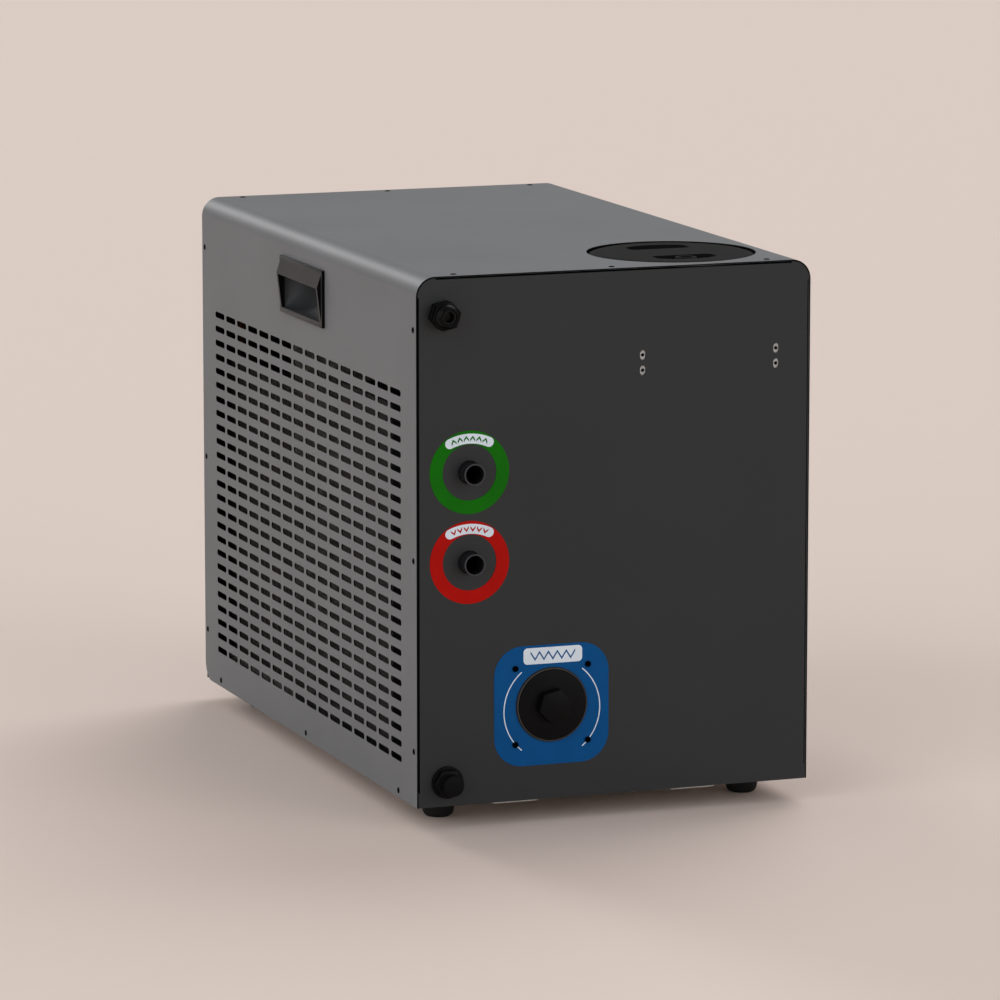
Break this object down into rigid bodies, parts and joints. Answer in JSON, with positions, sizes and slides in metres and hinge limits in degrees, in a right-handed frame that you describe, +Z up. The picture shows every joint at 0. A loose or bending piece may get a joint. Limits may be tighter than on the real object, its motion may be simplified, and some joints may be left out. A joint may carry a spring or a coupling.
{
  "type": "ice bath chiller",
  "caption": "Free-standing water chiller: folded casing with slotted side, two water stubs, screw-in filter cap, drain plug, round lid and pull handles.",
  "frame": {"origin": "on the floor, under the centre of the whole outline", "axes": "+Z up, front panel with the water stubs faces -Y, slotted inlet side faces -X"},
  "size_m": [0.3972, 0.66, 0.5037],
  "materials": {
    "cover_paint": "fine-textured powder coat, mid grey",
    "panel_paint": "fine-textured powder coat, charcoal",
    "galvanised": "hot-dip galvanised sheet",
    "black_plastic": "moulded nylon, satin",
    "rubber": "moulded rubber, matt",
    "black_steel": "black coated steel",
    "zinc_steel": "zinc plated steel",
    "grey_pipe": "extruded plastic pipe, dark grey",
    "green_label": "printed film, satin",
    "red_label": "printed film, satin",
    "blue_label": "printed film, satin",
    "tank_plastic": "moulded polyethylene, natural",
    "filter_media": "pleated filter paper",
    "fin_metal": "stacked fins",
    "compressor_paint": "gloss black enamel",
    "copper": "drawn copper tube",
    "foam": "closed-cell foam jacket",
    "grey_plastic": "moulded plastic, dark grey"
  },
  "bodies": {
    "chassis": {"wrap_cover": "cover_paint", "front_panel": "panel_paint", "rear_panel": "panel_paint", "base_pan": "galvanised", "base_rails": "galvanised", "cover_screws": "black_steel", "nut_strips": "zinc_steel", "foot_front_left": "rubber", "foot_front_right": "rubber", "foot_rear_left": "rubber", "foot_rear_right": "rubber", "foot_studs": "zinc_steel", "foot_nuts": "zinc_steel", "handle_left": "black_plastic", "handle_right": "black_plastic", "gland_body": "black_plastic", "gland_nut": "black_plastic", "gland_insert": "rubber", "gland_locknut": "black_plastic", "outlet_stub": "grey_pipe", "inlet_stub": "grey_pipe", "outlet_label": "green_label", "inlet_label": "red_label", "filter_label": "blue_label", "filter_screws": "black_steel", "filter_housing": "grey_plastic", "filter_cartridge": "filter_media", "drain_sleeve": "black_plastic", "drain_backnut": "black_plastic", "tank": "tank_plastic", "partition": "galvanised", "condenser_core": "fin_metal", "condenser_headers": "copper", "condenser_stand": "galvanised", "fan_shroud": "black_steel", "fan_motor": "black_steel", "motor_bracket": "galvanised", "compressor": "compressor_paint", "compressor_mounts": "rubber", "compressor_bolts": "zinc_steel", "pump": "grey_plastic", "pump_motor": "grey_plastic", "evaporator": "foam", "inlet_hose": "rubber", "outlet_hose": "rubber", "feed_hose": "rubber", "refrigerant_pipes": "copper", "filter_drier": "copper", "control_box": "grey_plastic", "control_box_lid": "grey_plastic"},
    "fan": {"fan_rotor": "black_plastic", "fan_shaft": "zinc_steel"},
    "cap_ring": {"filter_seal": "rubber"},
    "cap": {"filter_cap": "black_plastic"},
    "plug_ring": {"drain_washer": "rubber"},
    "plug": {"drain_plug": "black_plastic"},
    "lid_ring": {"lid_seal": "rubber"},
    "round_lid": {"lid": "black_plastic"}
  },
  "joints": [
    {"name": "fan_spin", "type": "hinge", "parent": "chassis", "child": "fan", "pos_m": [-0.122, 0.199, 0.201], "axis": [1, 0, 0], "continuous": true},
    {"name": "filter_cap_travel", "type": "slide", "parent": "chassis", "child": "cap_ring", "axis": [0, -1, 0], "range_m": [0, 0.016]},
    {"name": "filter_cap_turn", "type": "hinge", "parent": "cap_ring", "child": "cap", "pos_m": [-0.061, -0.308, 0.108], "axis": [0, -1, 0], "range_deg": [0, 1440]},
    {"name": "drain_plug_travel", "type": "slide", "parent": "chassis", "child": "plug_ring", "axis": [0, -1, 0], "range_m": [0, 0.012]},
    {"name": "drain_plug_turn", "type": "hinge", "parent": "plug_ring", "child": "plug", "pos_m": [-0.1613, -0.308, 0.0433], "axis": [0, -1, 0], "range_deg": [0, 2160]},
    {"name": "lid_travel", "type": "slide", "parent": "chassis", "child": "lid_ring", "axis": [0, 0, 1], "range_m": [0, 0.012]},
    {"name": "lid_turn", "type": "hinge", "parent": "lid_ring", "child": "round_lid", "pos_m": [0.0895, -0.2175, 0.503], "axis": [0, 0, 1], "range_deg": [0, 720]}
  ],
  "couplings": [
    {"joint": "filter_cap_travel", "follows": "filter_cap_turn", "m_per_rad": 0.00063662},
    {"joint": "drain_plug_travel", "follows": "drain_plug_turn", "m_per_rad": 0.00031831},
    {"joint": "lid_travel", "follows": "lid_turn", "m_per_rad": 0.00095493}
  ]
}
